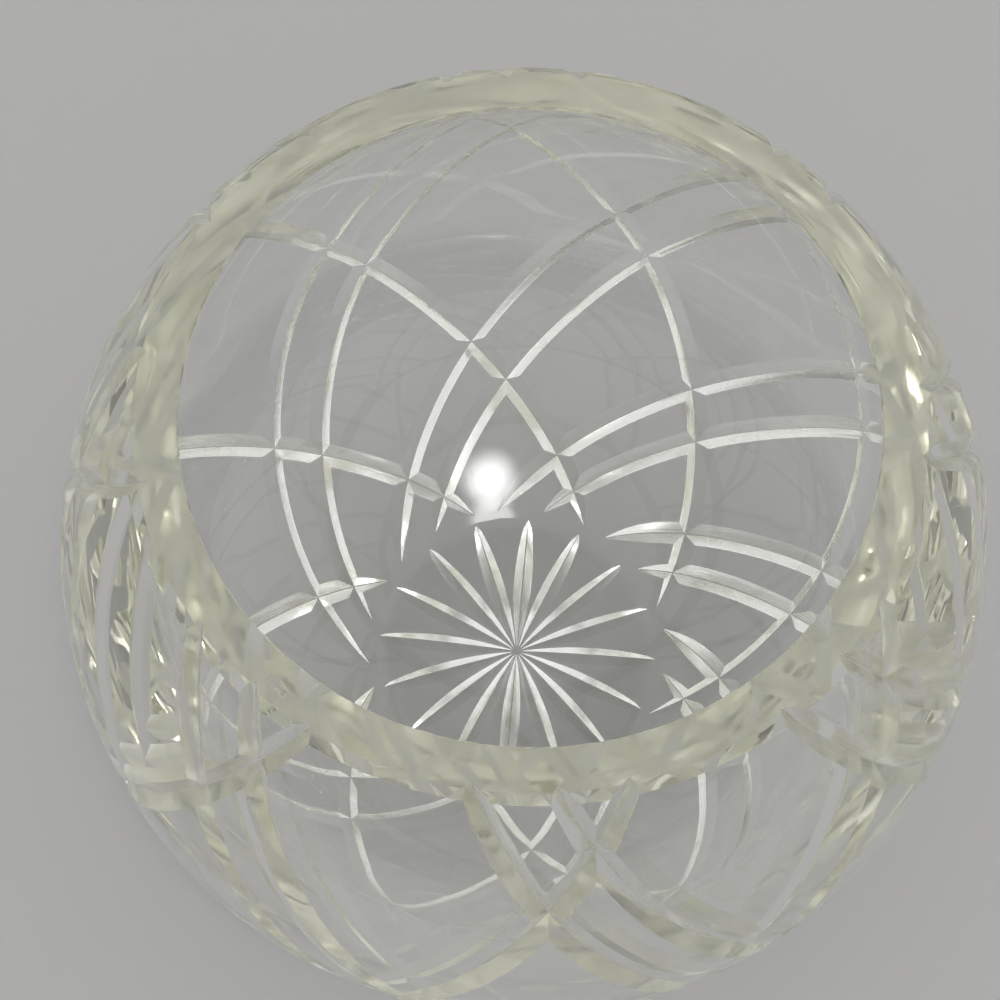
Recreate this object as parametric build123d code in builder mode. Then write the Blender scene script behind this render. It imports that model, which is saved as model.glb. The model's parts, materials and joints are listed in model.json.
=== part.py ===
from build123d import *
from math import asin, atan2, cos, degrees, hypot, radians, sin, sqrt, tan
import os

# Cut glass rose bowl in one piece of clear glass, in millimetres
# The origin is the centre of the ground foot that it stands on, with +Z up through the mouth

# Sizes of the blown body
body_diameter = 153.0
height = 115.0
belly_height = 56.0
mouth_diameter = 100.0
rim_width = 7.6
wall = 9.0
floor_thickness = 9.6
ground_off = 4.3

# Tight curve under the belly as a share of the depth below it, outside and inside
haunch_share = 0.83
inner_haunch_share = 0.776

# Ground and polished edges
rim_bevel = 0.9
mouth_bevel = 0.5
foot_bevel = 0.5

# Mitre cuts that cross on the outside, eight of each family around the body
mitre_angle = 110.0
mitre_depth = 1.6
tip_rise = 0.95
sectors = 8

# Each family: azimuth of its pointed tip by the foot, the way it turns as it climbs seen from above,
# and how far it leans from the upright at the foot and at the rim, all in degrees
single_cuts = (19.9, 1, 39.4, 23.4)
paired_cuts = (11.3, -1, 44.3, 21.4)
partner_cuts = (38.0, -1, 40.6, 22.6)

# Where up a cut its depth is set, from the tip to past the rim, and what part of the full depth it has
station_shares = (0, 0.03, 0.14, 0.34, 0.58, 0.82, 1)
depth_shares = (0, 0.8, 1, 1, 1, 0.9, 0.6)

# Star of rays cut into the foot by the rim of a wheel, in sets of rays that stand square to each other
star_rays = 16
star_sets = 4
star_azimuth = -1.7
star_gap = 0.8
ray_length = 30.0
ray_depth = 1.4

# How far every cutter runs on past the glass
overrun = 1.5

# Body shape worked out from the sizes: each side is a shoulder arc above the belly, and below it
# a haunch arc that runs into a round bottom, which is ground flat outside to make the foot
body_radius = body_diameter / 2
mouth_radius = mouth_diameter / 2
rim_radius = mouth_radius + rim_width
inner_radius = body_radius - wall
shoulder_rise = height - belly_height


def shoulder_radius(widest, top):
    """Radius of the arc that leaves the belly upright and ends at the rim or the mouth."""
    return (shoulder_rise ** 2 + (widest - top) ** 2) / (2 * (widest - top))


def bottom_radius(widest, depth, haunch):
    """Radius of the round bottom that the haunch arc runs into."""
    return (widest ** 2 + depth ** 2 - 2 * widest * haunch) / (2 * (depth - haunch))


outer_depth = belly_height + ground_off
outer_shoulder = shoulder_radius(body_radius, rim_radius)
outer_haunch = haunch_share * outer_depth
outer_bottom = bottom_radius(body_radius, outer_depth, outer_haunch)
outer_centre_level = outer_bottom - ground_off
outer_join = atan2(outer_centre_level - belly_height, body_radius - outer_haunch)
foot_radius = sqrt(outer_bottom ** 2 - outer_centre_level ** 2)
foot_angle = asin(outer_centre_level / outer_bottom)

inner_depth = belly_height - floor_thickness
inner_shoulder = shoulder_radius(inner_radius, mouth_radius)
inner_haunch = inner_haunch_share * inner_depth
inner_bottom = bottom_radius(inner_radius, inner_depth, inner_haunch)
inner_centre_level = floor_thickness + inner_bottom
inner_join = atan2(inner_centre_level - belly_height, inner_radius - inner_haunch)


def skin_arc(level):
    """Centre radius, centre level and radius of the outer arc at a level."""
    if level > belly_height:
        return body_radius - outer_shoulder, belly_height, outer_shoulder
    if level > belly_height - outer_haunch * sin(outer_join):
        return body_radius - outer_haunch, belly_height, outer_haunch
    return 0, outer_centre_level, outer_bottom


def skin_radius(level):
    """Radius of the outside of the body at a level."""
    centre_radius, centre_level, arc_radius = skin_arc(level)
    return centre_radius + sqrt(arc_radius ** 2 - (level - centre_level) ** 2)


def skin_normal(level, azimuth):
    """Unit vector that points out of the glass."""
    centre_radius, centre_level, arc_radius = skin_arc(level)
    across = (skin_radius(level) - centre_radius) / arc_radius
    return Vector(across * cos(azimuth), across * sin(azimuth), (level - centre_level) / arc_radius)


def climb(family):
    """Levels and azimuths along a cut, in small steps from its tip up and out past the rim."""
    tip_azimuth, turn, lean_at_foot, lean_at_rim = family
    steps = 400
    azimuth = radians(tip_azimuth)
    level = tip_rise
    rise = (height + overrun - tip_rise) / steps
    route = [(level, azimuth)]
    for step in range(steps):
        middle = level + rise / 2
        lean = radians(lean_at_foot + (lean_at_rim - lean_at_foot) * middle / height)
        run = hypot(rise, skin_radius(level + rise) - skin_radius(level))
        azimuth += turn * tan(lean) * run / skin_radius(middle)
        level += rise
        route.append((level, azimuth))
    return route


def mitre_cutter(family):
    """V shaped solid whose sharp edge follows the bottom of one cut, lofted through a few sections."""
    route = climb(family)
    bottoms = []
    outwards = []
    for place_share, depth_share in zip(station_shares, depth_shares):
        level, azimuth = route[round(place_share * (len(route) - 1))]
        radius = skin_radius(level)
        outward = skin_normal(level, azimuth)
        outwards.append(outward)
        on_skin = Vector(radius * cos(azimuth), radius * sin(azimuth), level)
        bottoms.append(on_skin - outward * mitre_depth * depth_share)
    reach = mitre_depth + overrun
    half_width = reach * tan(radians(mitre_angle / 2))
    with BuildLine() as bottom:
        Spline(*bottoms)
    with BuildPart() as cutter:
        for place, outward in zip(bottoms, outwards):
            along = bottom.edge().tangent_at(place)
            across = (outward - along * outward.dot(along)).cross(along)
            with BuildSketch(Plane(origin=place, x_dir=across, z_dir=along)):
                with BuildLine():
                    Polyline((0, 0), (-half_width, reach), (half_width, reach), close=True)
                make_face()
        loft()
    return cutter.part


def ray_cutter():
    """Arc of the V shaped rim of the wheel that sinks into the foot and leaves one spindle shaped ray."""
    half_length = ray_length / 2
    wheel_radius = (half_length ** 2 + ray_depth ** 2) / (2 * ray_depth)
    wheel_centre = Vector(star_gap + half_length, 0, ray_depth - wheel_radius)
    wheel_axis = Axis(wheel_centre, (0, 1, 0))
    half_arc = asin((half_length + overrun) / wheel_radius)
    first_spoke = Vector(-sin(half_arc), 0, cos(half_arc))
    section = Plane(origin=wheel_centre, x_dir=wheel_axis.direction,
                    z_dir=wheel_axis.direction.cross(first_spoke))
    shoulder = wheel_radius - ray_depth - overrun
    half_width = (ray_depth + overrun) * tan(radians(mitre_angle / 2))
    with BuildPart() as cutter:
        with BuildSketch(section):
            with BuildLine():
                Polyline((0, wheel_radius), (-half_width, shoulder), (half_width, shoulder), close=True)
            make_face()
        revolve(axis=wheel_axis, revolution_arc=degrees(2 * half_arc))
    return cutter.part


mitre_cutters = [mitre_cutter(family) for family in (single_cuts, paired_cuts, partner_cuts)]
ray = ray_cutter()

with BuildPart() as bowl:
    # Blown body, turned about the upright axis
    with BuildSketch(Plane.XZ):
        with BuildLine():
            Line((0, 0), (foot_radius, 0))
            CenterArc((0, outer_centre_level), outer_bottom, -degrees(foot_angle),
                      degrees(foot_angle - outer_join))
            CenterArc((body_radius - outer_haunch, belly_height), outer_haunch, -degrees(outer_join),
                      degrees(outer_join))
            CenterArc((body_radius - outer_shoulder, belly_height), outer_shoulder, 0,
                      degrees(asin(shoulder_rise / outer_shoulder)))
            Line((rim_radius, height), (mouth_radius, height))
            CenterArc((inner_radius - inner_shoulder, belly_height), inner_shoulder, 0,
                      degrees(asin(shoulder_rise / inner_shoulder)))
            CenterArc((inner_radius - inner_haunch, belly_height), inner_haunch, -degrees(inner_join),
                      degrees(inner_join))
            CenterArc((0, inner_centre_level), inner_bottom, -90, 90 - degrees(inner_join))
            Line((0, floor_thickness), (0, 0))
        make_face()
    revolve(axis=Axis.Z)
    # Bevels on the ground edges of the rim, the mouth and the foot
    rounds = bowl.edges().filter_by(GeomType.CIRCLE)
    mouth_edge, rim_edge = rounds.group_by(Axis.Z)[-1].sort_by(SortBy.RADIUS)
    foot_edge = rounds.group_by(Axis.Z)[0]
    chamfer(rim_edge, rim_bevel)
    chamfer(mouth_edge, mouth_bevel)
    chamfer(foot_edge, foot_bevel)
    # Star under the foot
    for star_set in range(star_sets):
        set_azimuth = star_azimuth + star_set * 360 / star_rays
        with PolarLocations(0, star_rays // star_sets, start_angle=set_azimuth):
            add(ray, mode=Mode.SUBTRACT)
    # Crossing mitre cuts around the outside
    for cutter in mitre_cutters:
        with PolarLocations(0, sectors):
            add(cutter, mode=Mode.SUBTRACT)

bowl.part.label = "bowl"
os.makedirs("parts", exist_ok=True)
export_step(bowl.part, "parts/bowl.step")
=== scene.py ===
import json
from math import asin, atan2, cos, hypot, pi, radians, sin, sqrt, tan

import bpy
import numpy as np
from mathutils import Matrix, Vector

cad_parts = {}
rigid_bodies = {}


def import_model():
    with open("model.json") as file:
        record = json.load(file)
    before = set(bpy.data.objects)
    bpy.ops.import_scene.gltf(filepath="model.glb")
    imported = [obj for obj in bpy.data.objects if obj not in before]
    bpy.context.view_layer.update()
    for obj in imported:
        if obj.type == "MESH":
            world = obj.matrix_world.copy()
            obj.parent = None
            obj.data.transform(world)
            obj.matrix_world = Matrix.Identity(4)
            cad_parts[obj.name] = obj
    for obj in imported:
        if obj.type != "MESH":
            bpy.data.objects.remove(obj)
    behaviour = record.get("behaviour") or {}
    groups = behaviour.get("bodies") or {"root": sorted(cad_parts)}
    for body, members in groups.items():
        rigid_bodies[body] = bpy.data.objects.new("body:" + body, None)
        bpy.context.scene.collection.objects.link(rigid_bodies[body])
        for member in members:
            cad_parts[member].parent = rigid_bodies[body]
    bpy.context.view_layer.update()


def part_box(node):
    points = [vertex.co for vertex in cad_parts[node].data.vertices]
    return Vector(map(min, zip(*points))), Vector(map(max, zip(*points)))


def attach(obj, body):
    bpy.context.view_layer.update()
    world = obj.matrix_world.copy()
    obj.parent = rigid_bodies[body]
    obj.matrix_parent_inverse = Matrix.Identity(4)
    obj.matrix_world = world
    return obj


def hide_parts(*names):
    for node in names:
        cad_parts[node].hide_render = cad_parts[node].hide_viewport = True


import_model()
mm = 0.001

# Blown body
# One thick-walled round bowl of clear glass, blown into a mould and left to cool as one piece.
# Its foot and rim are then ground flat on a wheel, and their edges are bevelled.
rim_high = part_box("bowl")[1]
body_radius = rim_high.x
height = rim_high.z
belly_height = 56 * mm
mouth_radius = 50 * mm
rim_width = 7.6 * mm
wall = 9 * mm
floor_thickness = 9.6 * mm
ground_off = 4.3 * mm
haunch_share = 0.83
inner_haunch_share = 0.776
rim_bevel = 0.9 * mm
mouth_bevel = 0.5 * mm
foot_bevel = 0.5 * mm
rim_radius = mouth_radius + rim_width
inner_radius = body_radius - wall
shoulder_rise = height - belly_height
body_segments = 384
ring_gap = 2 * mm
axis_reach = 0.02 * mm
foot_rings = 6
rim_rings = 2
# What each face is, which the glass reads to choose its finish
SKIN, INSIDE, FOOT, RIM, BEVEL, CUT, STAR = range(7)


def shoulder_radius(widest, top):
    """Radius of the arc that leaves the belly upright and ends at the rim or the mouth."""
    return (shoulder_rise ** 2 + (widest - top) ** 2) / (2 * (widest - top))


def bottom_radius(widest, depth, haunch):
    """Radius of the round bottom that the haunch arc runs into."""
    return (widest ** 2 + depth ** 2 - 2 * widest * haunch) / (2 * (depth - haunch))


outer_depth = belly_height + ground_off
outer_shoulder = shoulder_radius(body_radius, rim_radius)
outer_haunch = haunch_share * outer_depth
outer_bottom = bottom_radius(body_radius, outer_depth, outer_haunch)
outer_centre_level = outer_bottom - ground_off
outer_join = atan2(outer_centre_level - belly_height, body_radius - outer_haunch)
foot_radius = sqrt(outer_bottom ** 2 - outer_centre_level ** 2)
inner_depth = belly_height - floor_thickness
inner_shoulder = shoulder_radius(inner_radius, mouth_radius)
inner_haunch = inner_haunch_share * inner_depth
inner_bottom = bottom_radius(inner_radius, inner_depth, inner_haunch)
inner_centre_level = floor_thickness + inner_bottom
inner_join = atan2(inner_centre_level - belly_height, inner_radius - inner_haunch)


def arc(centre_radius, centre_level, radius, begin, end, facing):
    """Stretch of the profile along an arc: places and the direction that the glass faces at each."""
    steps = max(2, round(abs(end - begin) * radius / ring_gap))
    turns = np.linspace(begin, end, steps + 1)
    ways = np.stack([np.cos(turns), np.sin(turns)], 1)
    return np.array([centre_radius, centre_level]) + radius * ways, facing * ways


def straight(begin, end, steps):
    """Stretch of the profile along a straight line, with the glass on its left side as it is drawn."""
    places = np.linspace(begin, end, steps + 1)
    along = np.subtract(end, begin) / np.linalg.norm(np.subtract(end, begin))
    return places, np.tile([along[1], -along[0]], (steps + 1, 1))


def level_angle(radius, centre_level, level):
    """Angle on an arc at which it reaches a level."""
    return asin((level - centre_level) / radius)


outer_rim_angle = level_angle(outer_shoulder, belly_height, height - rim_bevel)
inner_rim_angle = level_angle(inner_shoulder, belly_height, height - mouth_bevel)
foot_edge_angle = level_angle(outer_bottom, outer_centre_level, foot_bevel)
under_foot = straight((0, 0), (foot_radius - foot_bevel, 0), foot_rings)
round_bottom = arc(0, outer_centre_level, outer_bottom, foot_edge_angle, -outer_join, 1)
haunch = arc(body_radius - outer_haunch, belly_height, outer_haunch, -outer_join, 0, 1)
shoulder = arc(body_radius - outer_shoulder, belly_height, outer_shoulder, 0, outer_rim_angle, 1)
foot_edge = straight(under_foot[0][-1], round_bottom[0][0], 1)
rim_edge = straight(shoulder[0][-1], (rim_radius - rim_bevel, height), 1)
rim_top = straight(rim_edge[0][-1], (mouth_radius + mouth_bevel, height), rim_rings)
inner_wall = arc(inner_radius - inner_shoulder, belly_height, inner_shoulder, inner_rim_angle, 0, -1)
mouth_edge = straight(rim_top[0][-1], inner_wall[0][0], 1)
inner_turn = arc(inner_radius - inner_haunch, belly_height, inner_haunch, 0, -inner_join, -1)
bowl_floor = arc(0, inner_centre_level, inner_bottom, -inner_join, -pi / 2, -1)
stretches = [(under_foot, FOOT), (foot_edge, BEVEL), (round_bottom, SKIN), (haunch, SKIN),
             (shoulder, SKIN), (rim_edge, BEVEL), (rim_top, RIM), (mouth_edge, BEVEL),
             (inner_wall, INSIDE), (inner_turn, INSIDE), (bowl_floor, INSIDE)]


def glass_mesh(name, points, faces, facings, finishes, turn=0, strokes=None):
    """Mesh turned about the upright axis. Its corners keep the direction that the glass faces there and, on
    a cut, the place along and across the wheel's stroke. Its faces keep a finish."""
    turning = np.array(Matrix.Rotation(turn, 3, "Z")).T
    mesh = bpy.data.meshes.new(name)
    mesh.from_pydata((np.asarray(points, float) @ turning).tolist(), [], faces)
    facing = mesh.attributes.new("facing", "FLOAT_VECTOR", "CORNER")
    facing.data.foreach_set("vector", (np.asarray(facings, float) @ turning).astype(np.float32).ravel())
    stroke = mesh.attributes.new("stroke", "FLOAT_VECTOR", "CORNER")
    if strokes is not None:
        stroke.data.foreach_set("vector", (np.asarray(strokes, float) / mm).astype(np.float32).ravel())
    finish = mesh.attributes.new("finish", "INT", "FACE")
    finish.data.foreach_set("value", np.asarray(finishes, np.int32))
    return bpy.data.objects.new(name, mesh)


def turned_body():
    """The profile turned about the upright axis."""
    turns = np.arange(body_segments) * 2 * pi / body_segments
    ways = np.stack([np.cos(turns), np.sin(turns)], 1)
    points = [(0, 0, 0)]
    faces = []
    facings = []
    finishes = []
    ring_start = 0

    def around(way, segment):
        x, y = ways[segment % body_segments]
        return way[0] * x, way[0] * y, way[1]

    for (places, directions), finish in stretches:
        for step in range(1, len(places)):
            radius, level = places[step]
            low, high = directions[step - 1], directions[step]
            old_start = ring_start
            at_axis = radius < axis_reach
            ring_start = len(points)
            if at_axis:
                points.append((0, 0, level))
            else:
                points.extend(np.column_stack([radius * ways, np.full(body_segments, level)]).tolist())
            for segment in range(body_segments):
                following = (segment + 1) % body_segments
                if old_start == 0 and len(points) <= body_segments + 1:
                    faces.append((0, ring_start + following, ring_start + segment))
                    facings += [around(low, 0), around(high, following), around(high, segment)]
                elif at_axis:
                    faces.append((old_start + segment, old_start + following, ring_start))
                    facings += [around(low, segment), around(low, following), around(high, 0)]
                else:
                    faces.append((old_start + segment, old_start + following,
                                  ring_start + following, ring_start + segment))
                    facings += [around(low, segment), around(low, following),
                                around(high, following), around(high, segment)]
            finishes += [finish] * body_segments
    return glass_mesh("bowl_blank", points, faces, facings, finishes)


blank = turned_body()
bpy.context.scene.collection.objects.link(blank)

# Mitre cuts
# V shaped cuts, made by holding the bowl against the sharp rim of a stone wheel and then lightly polished.
# Eight single cuts climb one way, and sixteen in pairs climb the other way and cross them.
foot_flank = radians(49.5)
rim_flank = radians(53.5)
mitre_depth = 1.85 * mm
edge_round = 0.16 * mm
edge_facets = 4
tip_rise = 0.95 * mm
tip_length = 14 * mm
overrun = 1.5 * mm
sectors = 8
climb_steps = 1200
cut_steps = 150
# Keeps the last place of a route from being missed
rounding = 1e-9
# Shares of the height between which a cut grows shallower, and what share of its depth it has there
lift_levels = (0.93, 1.01)
lift_depths = (1, 0.75)
# Each family: azimuth of its tip by the foot, the way it turns as it climbs seen from above, and how far it
# leans from the upright at the foot and at the rim, all in degrees
single_cuts = (19.9, 1, 39.4, 23.4)
paired_cuts = (11.3, -1, 44.3, 21.4)
partner_cuts = (38.0, -1, 40.6, 22.6)


def skin_arc(level):
    """Centre radius, centre level and radius of the outer arc at a level."""
    if level > belly_height:
        return body_radius - outer_shoulder, belly_height, outer_shoulder
    if level > belly_height - outer_haunch * sin(outer_join):
        return body_radius - outer_haunch, belly_height, outer_haunch
    return 0, outer_centre_level, outer_bottom


def skin_radius(level):
    """Radius of the outside of the body at a level."""
    centre_radius, centre_level, arc_radius = skin_arc(level)
    return centre_radius + sqrt(arc_radius ** 2 - (level - centre_level) ** 2)


def skin_normal(level, azimuth):
    """Unit vector that points out of the glass."""
    centre_radius, centre_level, arc_radius = skin_arc(level)
    across = (skin_radius(level) - centre_radius) / arc_radius
    return Vector((across * cos(azimuth), across * sin(azimuth), (level - centre_level) / arc_radius))


def climb(family):
    """Places on the skin along a cut, from its tip beside the foot up and out past the rim, with the way
    out of the glass and the length of cut behind each."""
    tip_azimuth, turn, lean_at_foot, lean_at_rim = family
    azimuth = radians(tip_azimuth)
    level = tip_rise
    rise = (height + overrun - tip_rise) / climb_steps
    behind = 0
    route = []
    for step in range(climb_steps + 1):
        radius = skin_radius(level)
        place = Vector((radius * cos(azimuth), radius * sin(azimuth), level))
        route.append((place, skin_normal(level, azimuth), behind))
        lean = radians(lean_at_foot + (lean_at_rim - lean_at_foot) * (level + rise / 2) / height)
        run = hypot(rise, skin_radius(level + rise) - radius)
        azimuth += turn * tan(lean) * run / skin_radius(level + rise / 2)
        level += rise
        behind += run / cos(lean)
    return route


def even_steps(route, steps):
    """Picks places along a route that are evenly spaced by the length of cut behind them."""
    lengths = np.array([behind for _, _, behind in route])
    wanted = np.linspace(0, lengths[-1], steps + 1) - rounding
    return [route[i] for i in np.searchsorted(lengths, wanted)]


def mitre_cutter(name, family, turn):
    """Solid that one cut takes away: the wheel sinks in from the tip and lifts off towards the rim, and its
    V has a slightly blunt edge. The flank on the side of the foot is the steeper one."""
    stations = even_steps(climb(family), cut_steps)
    bottoms = []
    for place, outward, behind in stations:
        sunk = 1 - max(0, 1 - behind / tip_length) ** 2
        lifted = np.interp(place.z / height, lift_levels, lift_depths)
        bottoms.append(place - outward * mitre_depth * sunk * lifted)
    left, right = (foot_flank, rim_flank)[::family[1]]
    to_centre = edge_round / sin((left + right) / 2)
    lean = (right - left) / 2
    blunt = np.linspace(left - pi / 2, pi / 2 - right, edge_facets + 1)
    reach = mitre_depth + overrun
    section = [(-reach * tan(left), reach)]
    section += [(to_centre * sin(lean) + edge_round * sin(way),
                 to_centre * cos(lean) - edge_round * cos(way)) for way in blunt]
    section += [(reach * tan(right), reach)]
    ways = [(cos(left), sin(left))] * 2 + [(-sin(way), cos(way)) for way in blunt[1:-1]]
    ways += [(-cos(right), sin(right))] * 2
    aside = [-reach / cos(left)] + [edge_round * way for way in blunt] + [reach / cos(right)]
    points = []
    section_ways = []
    for number, (_, outward, _) in enumerate(stations):
        before = bottoms[max(0, number - 1)]
        after = bottoms[min(len(bottoms) - 1, number + 1)]
        along = (after - before).normalized()
        up = (outward - along * outward.dot(along)).normalized()
        across = up.cross(along)
        points += [bottoms[number] + across * x + up * y for x, y in section]
        section_ways.append([across * x + up * y for x, y in ways])
    size = len(section)
    faces = [tuple(reversed(range(size)))]
    facings = [section_ways[0][0]] * size
    strokes = [(0, 0, turn)] * size
    for number in range(len(stations) - 1):
        near, far = number * size, (number + 1) * size
        for side in range(size):
            other = (side + 1) % size
            faces.append((near + side, near + other, far + other, far + side))
            near_ways, far_ways = section_ways[number], section_ways[number + 1]
            facings += [near_ways[side], near_ways[other], far_ways[other], far_ways[side]]
            begin, end = stations[number][2], stations[number + 1][2]
            strokes += [(begin, aside[side], turn), (begin, aside[other], turn),
                        (end, aside[other], turn), (end, aside[side], turn)]
    faces.append(tuple(range(len(points) - size, len(points))))
    facings += [section_ways[-1][0]] * size
    strokes += [(0, 0, turn)] * size
    return glass_mesh(name, points, faces, facings, [CUT] * len(faces), turn, strokes)


cutters = bpy.data.collections.new("cutters")
families = {"single": single_cuts, "paired": paired_cuts, "partner": partner_cuts}
for family_name, family in families.items():
    for sector in range(sectors):
        turn = sector * 2 * pi / sectors
        cutters.objects.link(mitre_cutter(f"{family_name}_{sector}", family, turn))

# Star in the foot
# Sixteen spindle shaped rays, cut into the flat foot with the rim of the same kind of wheel.
star_rays = 16
star_azimuth = radians(-1.7)
star_gap = 0.8 * mm
ray_length = 30 * mm
ray_depth = 1.5 * mm
ray_flank = radians(50.5)
ray_edge = 0.24 * mm
least_edge_share = 0.01
ray_steps = 48


def ray_cutter(name, turn):
    """Solid that one ray takes away, as deep along its length as the round wheel that sinks into the foot.
    The edge of its V is a little blunt where it is deep."""
    half_length = ray_length / 2
    wheel_radius = (half_length ** 2 + ray_depth ** 2) / (2 * ray_depth)
    reach = (half_length + overrun) / wheel_radius
    points = []
    ways = []
    places = []
    for sweep in np.linspace(-reach, reach, ray_steps + 1):
        middle = star_gap + half_length + wheel_radius * sin(sweep)
        bottom = ray_depth - wheel_radius * (1 - cos(sweep))
        spread = (bottom + overrun) * tan(ray_flank)
        blunt = ray_edge / 2 * max(bottom / ray_depth, least_edge_share)
        bottom -= blunt / tan(ray_flank)
        points += [(middle, -spread, -overrun), (middle, -blunt, bottom), (middle, blunt, bottom),
                   (middle, spread, -overrun)]
        down = Vector((-sin(sweep), 0, -cos(sweep)))
        left, right = [Vector((0, side * cos(ray_flank), 0)) + down * sin(ray_flank)
                       for side in (1, -1)]
        ways.append([left, down, right])
        places.append([(middle, side / sin(ray_flank), turn)
                       for side in (-spread, -blunt, blunt, spread)])
    faces = [(0, 1, 2, 3)]
    facings = [ways[0][0]] * 4
    strokes = [places[0][0]] * 4
    for step in range(ray_steps):
        near, far = 4 * step, 4 * step + 4
        for side in range(3):
            faces.append((near + side, far + side, far + side + 1, near + side + 1))
            facings += [ways[step][side], ways[step + 1][side], ways[step + 1][side], ways[step][side]]
            strokes += [places[step][side], places[step + 1][side], places[step + 1][side + 1],
                        places[step][side + 1]]
        faces.append((near + 3, far + 3, far, near))
        facings += [ways[step][0]] * 4
        strokes += [places[step][0]] * 4
    last = len(points) - 4
    faces.append((last + 3, last + 2, last + 1, last))
    facings += [ways[-1][0]] * 4
    strokes += [places[-1][0]] * 4
    return glass_mesh(name, points, faces, facings, [STAR] * len(faces), turn, strokes)


for number in range(star_rays):
    cutters.objects.link(ray_cutter(f"ray_{number}", star_azimuth + number * 2 * pi / star_rays))

# Finished glass
# The cuts are taken out of the blank, and every surface keeps its own true curve, so that light bends
# cleanly.
cutting = blank.modifiers.new("cutting", "BOOLEAN")
cutting.operation = "DIFFERENCE"
cutting.operand_type = "COLLECTION"
cutting.collection = cutters
cutting.solver = "MANIFOLD"
shown = blank.evaluated_get(bpy.context.evaluated_depsgraph_get())
cut_mesh = bpy.data.meshes.new_from_object(shown)
cut_mesh.name = "cut_glass_bowl"
bowl = bpy.data.objects.new("cut_glass_bowl", cut_mesh)
bpy.context.scene.collection.objects.link(bowl)
bpy.data.objects.remove(blank)
for wheel in list(cutters.objects):
    bpy.data.objects.remove(wheel)
facing = np.zeros(3 * len(cut_mesh.loops), np.float32)
cut_mesh.attributes["facing"].data.foreach_get("vector", facing)
facing = facing.reshape(-1, 3)
facing /= np.linalg.norm(facing, axis=1)[:, None]
cut_mesh.normals_split_custom_set(facing)
cut_mesh.attributes.remove(cut_mesh.attributes["facing"])
# What the glass is like. Sizes here are plain numbers in millimetres
glass_ior = 1.52
glass_tint = (0.869, 0.872, 0.813, 1)
tint_density = 15.5
# How high the waves and lines stand, and how many to the metre there are of the waves
skin_relief, rim_relief, cut_relief = 0.06, 0.04, 0.01
skin_waves, rim_waves = 50, 160
# How fast the wheel's lines and the mottling change along and across a stroke, and from cut to cut
line_grain = (0.08, 2.2, 0.01)
mottle_grain = (1.1, 1.6, 0.01)
fine_detail = 2
# How rough each surface is: from the least to the most, or only the most
cut_roughness = (0.11, 0.2)
mottle_roughness = 0.05
rim_roughness = (0.15, 0.2)
foot_roughness = 0.2
scratch_roughness = 0.14
ring_roughness = 0.05
# Between which strengths of the lines, the mottling, the waves and the rings a surface grows rougher
cut_range = (0.35, 0.7)
mottle_range = (0.4, 0.75)
rim_range = (0.3, 0.7)
ring_range = (0.5, 0.75)
# Each set of scratches: how it leans, the width and length of a mark, and the share of places without one
scratch_sets = ((0.35, 0.12, 2.4, 0.84), (-0.5, 0.1, 1.6, 0.88))
# How much of the space between marks one takes up, and where it starts and stops fading from its middle
mark_share = 0.1
mark_edge = (0.06, 0.12)
# How fast the rings of wear change across the bowl and up its wall
ring_across, ring_up = 0.02, 0.9
# Mean radius of the inside, which gives the lengths around it
inside_radius = 60
# How near a face's number is to that of a surface, or to the middle of two that follow each other
one_surface, two_surfaces = 0.5, 0.9


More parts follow.
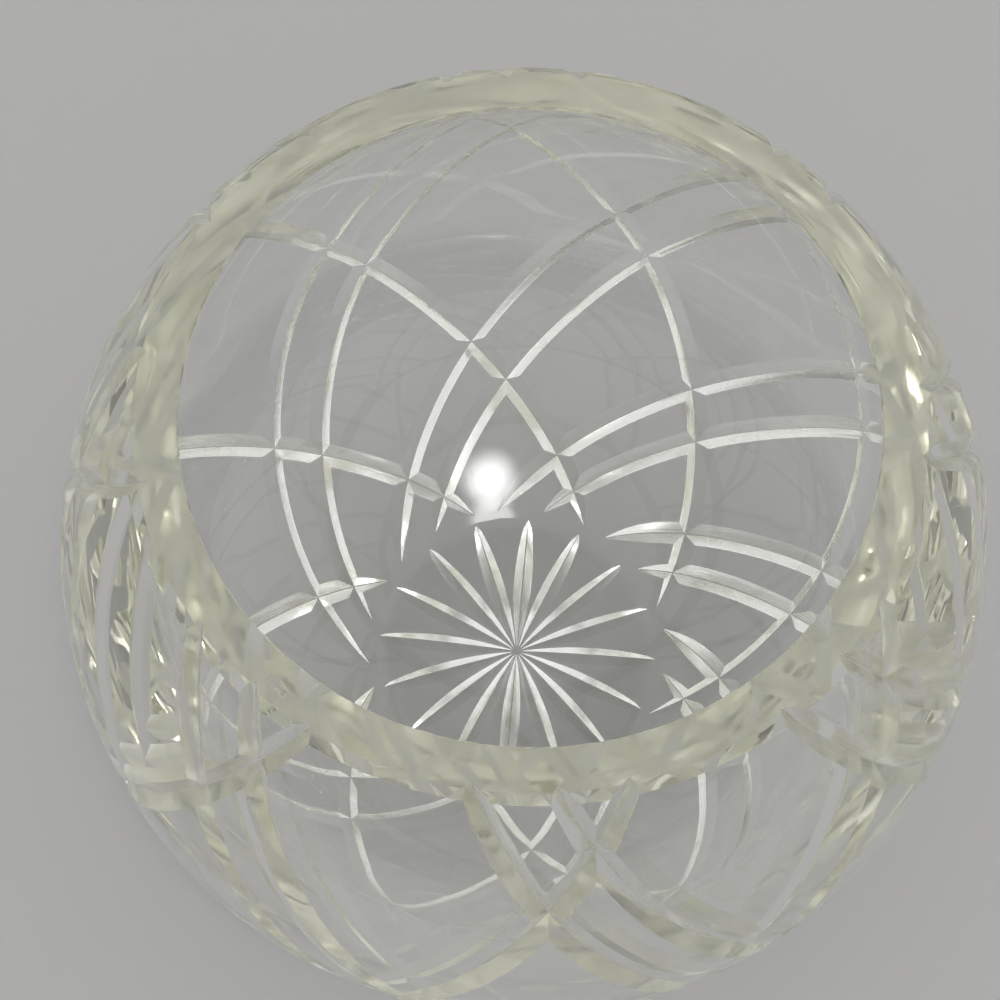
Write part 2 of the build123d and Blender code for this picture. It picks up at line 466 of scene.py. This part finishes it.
def clear_glass():
    """Clear glass with a faint olive tint, polished on the blown skin, satin on the ground rim and foot,
    with the wheel's lines in the cuts, and with marks of use inside."""
    material = bpy.data.materials.new("clear_glass")
    material.use_nodes = True
    nodes = material.node_tree.nodes
    links = material.node_tree.links
    shader = nodes["Principled BSDF"]
    shader.inputs["Base Color"].default_value = (1, 1, 1, 1)
    shader.inputs["IOR"].default_value = glass_ior
    shader.inputs["Transmission Weight"].default_value = 1

    def number(value, socket):
        """Puts a plain number or set of numbers, or the result of another node, into a socket."""
        if isinstance(value, (int, float, tuple)):
            socket.default_value = value
        else:
            links.new(value, socket)

    def work(operation, *values):
        step = nodes.new("ShaderNodeMath")
        step.operation = operation
        for value, socket in zip(values, step.inputs):
            number(value, socket)
        return step.outputs[0]

    def ramp(value, begin, end, low, high):
        step = nodes.new("ShaderNodeMapRange")
        for amount, socket in zip((value, begin, end, low, high), step.inputs):
            number(amount, socket)
        return step.outputs[0]

    def vector(*values):
        step = nodes.new("ShaderNodeCombineXYZ")
        for value, socket in zip(values, step.inputs):
            number(value, socket)
        return step.outputs[0]

    def noise(place, detail=0):
        step = nodes.new("ShaderNodeTexNoise")
        step.inputs["Scale"].default_value = 1
        step.inputs["Detail"].default_value = detail
        links.new(place, step.inputs["Vector"])
        return step.outputs[0]

    def parts(source):
        step = nodes.new("ShaderNodeSeparateXYZ")
        links.new(source, step.inputs[0])
        return step.outputs

    def stretched(place, factors):
        step = nodes.new("ShaderNodeVectorMath")
        step.operation = "MULTIPLY"
        links.new(place, step.inputs[0])
        number(factors, step.inputs[1])
        return step.outputs[0]

    finish = nodes.new("ShaderNodeAttribute")
    finish.attribute_name = "finish"
    zone = finish.outputs["Fac"]
    in_cut = work("COMPARE", zone, (CUT + STAR) / 2, two_surfaces)
    on_rim = work("COMPARE", zone, RIM, one_surface)
    inside = work("COMPARE", zone, INSIDE, one_surface)
    on_foot = work("COMPARE", zone, FOOT, one_surface)
    stroke = nodes.new("ShaderNodeAttribute")
    stroke.attribute_name = "stroke"
    here = nodes.new("ShaderNodeTexCoord").outputs["Object"]

    # Lines that the wheel leaves along a cut, fine waves in the ground rim and slow ones in the blown skin
    grain_place = nodes.new("ShaderNodeMix")
    grain_place.data_type = "VECTOR"
    links.new(in_cut, grain_place.inputs["Factor"])
    waves = work("MULTIPLY_ADD", on_rim, rim_waves - skin_waves, skin_waves)
    links.new(stretched(here, vector(waves, waves, waves)), grain_place.inputs[4])
    links.new(stretched(stroke.outputs["Vector"], line_grain), grain_place.inputs[5])
    grain = noise(grain_place.outputs[1], fine_detail)
    relief = work("MULTIPLY_ADD", in_cut, cut_relief - skin_relief,
                  work("MULTIPLY_ADD", on_rim, rim_relief - skin_relief, skin_relief))
    bump = nodes.new("ShaderNodeBump")
    bump.inputs["Distance"].default_value = mm
    number(work("MULTIPLY", grain, relief), bump.inputs["Height"])
    links.new(bump.outputs[0], shader.inputs["Normal"])

    # Scratches inside, short and mostly upright, in two leanings, and a haze of fine rings from cleaning
    x, y, z = [work("MULTIPLY", out, 1 / mm) for out in parts(here)]
    girth = work("MULTIPLY", work("ARCTAN2", y, x), inside_radius)
    rise = work("SUBTRACT", z, work("SQRT", work("ADD", work("MULTIPLY", x, x), work("MULTIPLY", y, y))))
    scratches = 0
    for lean, width, length, share in scratch_sets:
        marks = nodes.new("ShaderNodeTexVoronoi")
        marks.voronoi_dimensions = "2D"
        marks.inputs["Scale"].default_value = 1
        leaning = work("MULTIPLY_ADD", rise, lean, girth)
        place = vector(work("MULTIPLY", leaning, mark_share / width),
                       work("MULTIPLY", rise, mark_share / length), 0)
        links.new(place, marks.inputs["Vector"])
        near = ramp(marks.outputs["Distance"], *mark_edge, 1, 0)
        kept = work("GREATER_THAN", parts(marks.outputs["Color"])[0], share)
        scratches = work("MAXIMUM", scratches, work("MULTIPLY", near, kept))
    ring_place = vector(work("MULTIPLY", x, ring_across), work("MULTIPLY", y, ring_across),
                        work("MULTIPLY", rise, ring_up))
    rings = noise(ring_place, fine_detail)
    worn = work("MULTIPLY_ADD", scratches, scratch_roughness,
                ramp(rings, *ring_range, 0, ring_roughness))

    # Full polish on the blown skin and the bevels, and less on the ground rim and foot and in the cuts
    mottle = noise(stretched(stroke.outputs["Vector"], mottle_grain))
    cut_finish = work("ADD", ramp(grain, *cut_range, *cut_roughness),
                      ramp(mottle, *mottle_range, 0, mottle_roughness))
    rim_finish = ramp(grain, *rim_range, *rim_roughness)
    roughness = work("MULTIPLY", inside, worn)
    for surface, rough in ((in_cut, cut_finish), (on_rim, rim_finish), (on_foot, foot_roughness)):
        roughness = work("MULTIPLY_ADD", surface, rough, roughness)
    number(roughness, shader.inputs["Roughness"])
    tint = nodes.new("ShaderNodeVolumeAbsorption")
    tint.inputs["Color"].default_value = glass_tint
    tint.inputs["Density"].default_value = tint_density
    links.new(tint.outputs[0], nodes["Material Output"].inputs["Volume"])
    return material


cut_mesh.materials.clear()
cut_mesh.materials.append(clear_glass())
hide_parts("bowl")
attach(bowl, "root")

# Floor
# A plain pale floor, wide enough to fill the view.
floor_side = 24.0
floor_gap = 0.2 * mm
floor_colour = (0.52, 0.515, 0.51, 1)
floor_roughness = 0.9
floor_mesh = bpy.data.meshes.new("floor")
corners = [(x * floor_side / 2, y * floor_side / 2, -floor_gap)
           for x, y in ((-1, -1), (1, -1), (1, 1), (-1, 1))]
floor_mesh.from_pydata(corners, [], [(0, 1, 2, 3)])
floor = bpy.data.objects.new("floor", floor_mesh)
bpy.context.scene.collection.objects.link(floor)
pale = bpy.data.materials.new("pale_floor")
pale.use_nodes = True
pale_inputs = pale.node_tree.nodes["Principled BSDF"].inputs
pale_inputs["Base Color"].default_value = floor_colour
pale_inputs["Roughness"].default_value = floor_roughness
floor_mesh.materials.append(pale)

# Light
# A round soft lamp hangs over the bowl, and the room gives an even light. What shows of the room is white.
world = bpy.data.worlds.new("room")
bpy.context.scene.world = world
world.use_nodes = True
room_nodes = world.node_tree.nodes
room_links = world.node_tree.links
room_light = 0.7
lamp_place = (0.163, -0.325, 1.149)
lamp_aim = (0, 0, 0.06)
lamp_width = 0.32
lamp_power = 5.5
lamp_fall = (0.05, 0.5)
seen = room_nodes.new("ShaderNodeLightPath")
shows = seen.outputs["Is Camera Ray"]
for kind in ("Is Glossy Ray", "Is Transmission Ray"):
    either = room_nodes.new("ShaderNodeMath")
    either.operation = "MAXIMUM"
    room_links.new(shows, either.inputs[0])
    room_links.new(seen.outputs[kind], either.inputs[1])
    shows = either.outputs[0]
strength = room_nodes.new("ShaderNodeMapRange")
strength.inputs["To Min"].default_value = room_light
strength.inputs["To Max"].default_value = 1
room_links.new(shows, strength.inputs["Value"])
room_links.new(strength.outputs[0], room_nodes["Background"].inputs["Strength"])
room_nodes["Background"].inputs["Color"].default_value = (1, 1, 1, 1)


def soft_lamp(name, place, aim, width, power):
    """Round lamp behind a diffuser that is brightest in the middle, at a place, turned to face a point."""
    lamp = bpy.data.lights.new(name, "AREA")
    lamp.shape = "DISK"
    lamp.size = width
    lamp.energy = power
    lamp.use_nodes = True
    diffuser = lamp.node_tree
    on_lamp = diffuser.nodes.new("ShaderNodeNewGeometry")
    from_middle = diffuser.nodes.new("ShaderNodeVectorMath")
    from_middle.operation = "DISTANCE"
    from_middle.inputs[1].default_value = (0.5, 0.5, 0)
    diffuser.links.new(on_lamp.outputs["Parametric"], from_middle.inputs[0])
    fall = diffuser.nodes.new("ShaderNodeMapRange")
    fall.interpolation_type = "SMOOTHSTEP"
    for value, socket in zip((*lamp_fall, 1, 0), list(fall.inputs)[1:5]):
        socket.default_value = value
    diffuser.links.new(from_middle.outputs["Value"], fall.inputs[0])
    diffuser.links.new(fall.outputs[0], diffuser.nodes["Emission"].inputs["Strength"])
    holder = bpy.data.objects.new(name, lamp)
    holder.location = place
    holder.rotation_euler = (Vector(aim) - Vector(place)).to_track_quat("-Z", "Y").to_euler()
    bpy.context.scene.collection.objects.link(holder)


soft_lamp("ceiling_lamp", lamp_place, lamp_aim, lamp_width, lamp_power)

# Camera
# It looks down into the bowl from close by, and a little from the front, as the photograph does.
camera_distance = 277.5 * mm
camera_elevation = radians(64.3)
camera_roll = radians(3.293)
focal_pixels = 1939.76
rim_centre_pixel = (531.0, 404.26)
frame_pixels = 1000
sensor_width = 36
clip_start = 0.01
light_bounces = 32
camera_data = bpy.data.cameras.new("camera")
camera_data.sensor_width = sensor_width
camera_data.lens = camera_data.sensor_width * focal_pixels / frame_pixels
camera_data.clip_start = clip_start
camera = bpy.data.objects.new("camera", camera_data)
rim_centre = Vector((0, 0, height))
back = Vector((0, -cos(camera_elevation), sin(camera_elevation)))
right = Vector((1, 0, 0))
level_view = Matrix((right, back.cross(right), back)).transposed()
off_middle = Vector((rim_centre_pixel[0] - frame_pixels / 2, frame_pixels / 2 - rim_centre_pixel[1],
                     -focal_pixels))
aim = Vector((0, 0, -1)).rotation_difference(off_middle).to_matrix()
rotation = level_view @ Matrix.Rotation(camera_roll, 3, "Z") @ aim.transposed()
camera.matrix_world = Matrix.Translation(rim_centre + camera_distance * back) @ rotation.to_4x4()
bpy.context.scene.collection.objects.link(camera)
bpy.context.scene.camera = camera
bpy.context.scene.cycles.max_bounces = light_bounces
bpy.context.scene.cycles.transmission_bounces = light_bounces
bpy.context.scene.cycles.glossy_bounces = light_bounces
bpy.context.scene.view_settings.view_transform = "Standard"
